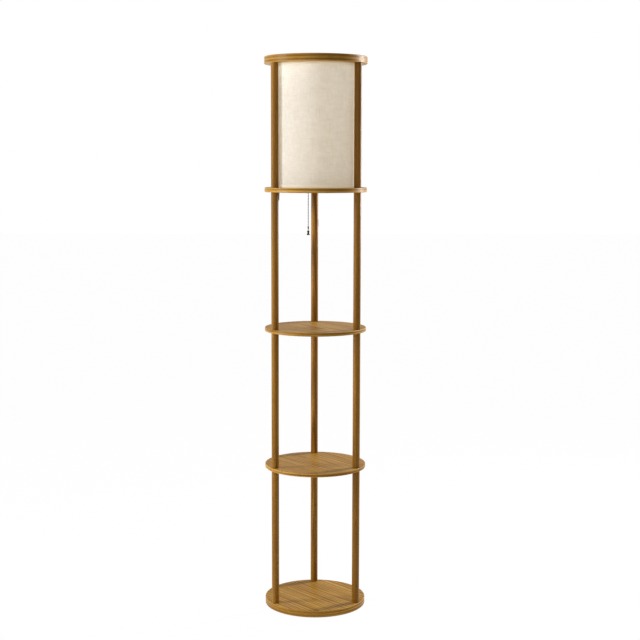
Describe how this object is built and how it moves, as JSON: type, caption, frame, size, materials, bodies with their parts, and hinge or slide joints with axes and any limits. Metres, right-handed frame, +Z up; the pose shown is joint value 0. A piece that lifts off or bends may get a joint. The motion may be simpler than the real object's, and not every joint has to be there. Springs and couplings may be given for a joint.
{
  "type": "shelf floor lamp",
  "caption": "Tall round floor lamp with open shelves between upright poles and a fabric drum shade at the top, switched by a pull chain.",
  "frame": {"origin": "centre of the base on the floor, at the underside of the felt feet", "axes": "+Z up; one pole stands at +Y, the back, and the other two stand towards -Y, the front; +X is to the right seen from the front"},
  "size_m": [0.292, 0.2935, 1.5875],
  "materials": {
    "oak_board": "satin lacquered oak veneer",
    "oak_band": "satin lacquered oak edging",
    "oak_pole": "satin lacquered oak dowel",
    "insert_brass": "machined",
    "zinc_steel": "zinc plated",
    "felt": "pressed felt",
    "linen": "fine slubbed linen weave",
    "liner": "translucent white styrene",
    "shade_tape": "woven tape",
    "hoop_wire": "white coated wire",
    "socket_brass": "polished brass plate",
    "socket_card": "fibre insulating sleeve",
    "socket_moulding": "phenolic moulding",
    "thread_aluminium": "rolled thread",
    "chain_nickel": "nickel plated ball chain",
    "knob_bronze": "dark bronze, semi gloss",
    "contact_solder": "tinned",
    "bulb_insulator_black": "black vitrified insulator",
    "bulb_glass": "frosted white glass",
    "dark_moulding": "dark brown moulding"
  },
  "bodies": {
    "lamp": {"base_board": "oak_board", "lower_shelf_board": "oak_board", "upper_shelf_board": "oak_board", "shade_floor_board": "oak_board", "top_ring": "oak_board", "base_edge_band": "oak_band", "lower_shelf_edge_band": "oak_band", "upper_shelf_edge_band": "oak_band", "shade_floor_edge_band": "oak_band", "pole_front_left_lower": "oak_pole", "pole_front_left_middle": "oak_pole", "pole_front_left_upper": "oak_pole", "pole_front_left_shade": "oak_pole", "pole_front_right_lower": "oak_pole", "pole_front_right_middle": "oak_pole", "pole_front_right_upper": "oak_pole", "pole_front_right_shade": "oak_pole", "pole_back_lower": "oak_pole", "pole_back_middle": "oak_pole", "pole_back_upper": "oak_pole", "pole_back_shade": "oak_pole", "threaded_inserts": "insert_brass", "board_studs": "zinc_steel", "ring_studs": "zinc_steel", "base_washers": "zinc_steel", "base_bolts": "zinc_steel", "shade_clips": "zinc_steel", "shade_clip_screws": "zinc_steel", "socket_nipple": "zinc_steel", "nipple_washer": "zinc_steel", "nipple_nut": "zinc_steel", "foot_pads": "felt", "shade_fabric": "linen", "shade_liner": "liner", "shade_bottom_trim": "shade_tape", "shade_top_trim": "shade_tape", "shade_bottom_hoop": "hoop_wire", "shade_top_hoop": "hoop_wire", "socket_collar": "socket_brass", "socket_cap": "socket_brass", "socket_shell": "socket_brass", "chain_guide": "socket_brass", "centre_contact": "socket_brass", "chain_eyelet": "socket_brass", "socket_sleeve": "socket_card", "socket_core": "socket_moulding", "thread_shell": "thread_aluminium", "cord_bushing": "dark_moulding", "cord_clip": "dark_moulding"},
    "chain_run": {"chain_upper": "chain_nickel"},
    "chain_link": {"chain_pivot_bead": "chain_nickel"},
    "chain_tail": {"chain_lower": "chain_nickel", "chain_coupling": "chain_nickel", "chain_knob": "knob_bronze"},
    "switch": {"switch_rotor": "socket_moulding", "switch_axle": "zinc_steel"},
    "bulb_foot": {"bulb_tip": "contact_solder"},
    "bulb": {"bulb_insulator": "bulb_insulator_black", "bulb_cap": "thread_aluminium", "bulb_envelope": "bulb_glass"}
  },
  "joints": [
    {"name": "chain_pull", "type": "slide", "parent": "lamp", "child": "chain_run", "axis": [0, 0, -1], "range_m": [0, 0.012], "stiffness_N_per_m": 150, "springref_m": -0.008},
    {"name": "chain_swing_side", "type": "hinge", "parent": "chain_run", "child": "chain_link", "pos_m": [-0.021, 0, 1.203], "axis": [0, 1, 0], "range_deg": [-35, 35]},
    {"name": "chain_swing_front", "type": "hinge", "parent": "chain_link", "child": "chain_tail", "pos_m": [-0.021, 0, 1.203], "axis": [1, 0, 0], "range_deg": [-35, 35]},
    {"name": "switch_turn", "type": "hinge", "parent": "lamp", "child": "switch", "pos_m": [-0.003, 0, 1.247], "axis": [0, 1, 0], "range_deg": [0, 90]},
    {"name": "bulb_rise", "type": "slide", "parent": "lamp", "child": "bulb_foot", "axis": [0, 0, 1], "range_m": [0, 0.0182]},
    {"name": "bulb_turn", "type": "hinge", "parent": "bulb_foot", "child": "bulb", "pos_m": [0, 0, 1.2754], "axis": [0, 0, 1], "range_deg": [0, 1800]}
  ],
  "couplings": [
    {"joint": "switch_turn", "follows": "chain_pull", "rad_per_m": 130.8},
    {"joint": "bulb_rise", "follows": "bulb_turn", "m_per_rad": 0.00057751}
  ]
}
